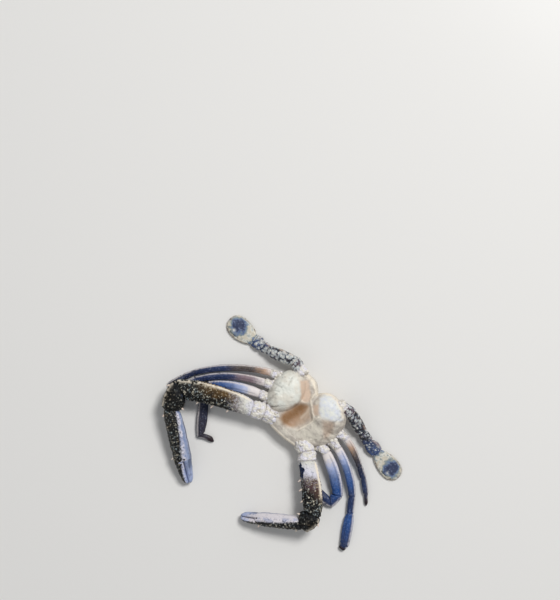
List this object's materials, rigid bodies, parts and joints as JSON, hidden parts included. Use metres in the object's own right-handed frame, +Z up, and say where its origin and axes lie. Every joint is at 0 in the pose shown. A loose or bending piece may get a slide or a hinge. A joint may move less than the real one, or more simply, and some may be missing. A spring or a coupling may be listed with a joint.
{
  "type": "blue swimming crab, cleaned",
  "caption": "Life-size cleaned blue swimming crab lying on its underside: open thorax, spined claws with trimmed fingers, slender blue walking legs and paddle-ended swimming legs.",
  "frame": {"origin": "on the floor, under the middle of the whole model's outline", "axes": "+Z up from the floor, -Y the way the crab faces, +X its left"},
  "size_m": [0.1909, 0.1328, 0.0234],
  "materials": {
    "inner_skeleton": "satin, moist; cream white lobes with tan hollows",
    "root_joints": "satin; cream and lilac white, knobbly",
    "claw_shell": "satin; dark olive and blue black with pale grains",
    "claw_palm": "satin; smooth lilac blue inside, dark and grained outside",
    "leg_shell": "satin; mauve at the root to deep blue at the end",
    "swimming_shell": "satin; mottled dark blue and white",
    "paddle": "satin; cream with a dark blue blotch and a pale fringed rim"
  },
  "bodies": {
    "root": {"claw_left_carpus": "claw_shell", "claw_left_coxa": "root_joints", "claw_left_finger": "claw_palm", "claw_left_ischium": "root_joints", "claw_left_merus": "claw_shell", "claw_left_palm": "claw_palm", "claw_right_carpus": "claw_shell", "claw_right_coxa": "root_joints", "claw_right_finger": "claw_palm", "claw_right_ischium": "root_joints", "claw_right_merus": "claw_shell", "claw_right_palm": "claw_palm", "swimming_leg_left_carpus": "swimming_shell", "swimming_leg_left_coxa": "root_joints", "swimming_leg_left_merus": "swimming_shell", "swimming_leg_left_paddle": "paddle", "swimming_leg_left_propodus": "swimming_shell", "swimming_leg_right_carpus": "swimming_shell", "swimming_leg_right_coxa": "root_joints", "swimming_leg_right_merus": "swimming_shell", "swimming_leg_right_paddle": "paddle", "swimming_leg_right_propodus": "swimming_shell", "thorax": "inner_skeleton", "walking_leg_1_left_carpus": "leg_shell", "walking_leg_1_left_coxa": "root_joints", "walking_leg_1_left_merus": "leg_shell", "walking_leg_1_left_propodus": "leg_shell", "walking_leg_1_right_carpus": "leg_shell", "walking_leg_1_right_coxa": "root_joints", "walking_leg_1_right_dactyl": "leg_shell", "walking_leg_1_right_merus": "leg_shell", "walking_leg_1_right_propodus": "leg_shell", "walking_leg_2_left_carpus": "leg_shell", "walking_leg_2_left_coxa": "root_joints", "walking_leg_2_left_dactyl": "leg_shell", "walking_leg_2_left_merus": "leg_shell", "walking_leg_2_left_propodus": "leg_shell", "walking_leg_2_right_carpus": "leg_shell", "walking_leg_2_right_coxa": "root_joints", "walking_leg_2_right_dactyl": "leg_shell", "walking_leg_2_right_merus": "leg_shell", "walking_leg_2_right_propodus": "leg_shell", "walking_leg_3_left_carpus": "leg_shell", "walking_leg_3_left_coxa": "root_joints", "walking_leg_3_left_dactyl": "leg_shell", "walking_leg_3_left_merus": "leg_shell", "walking_leg_3_left_propodus": "leg_shell", "walking_leg_3_right_carpus": "leg_shell", "walking_leg_3_right_coxa": "root_joints", "walking_leg_3_right_merus": "leg_shell", "walking_leg_3_right_propodus": "leg_shell"}
  },
  "joints": []
}
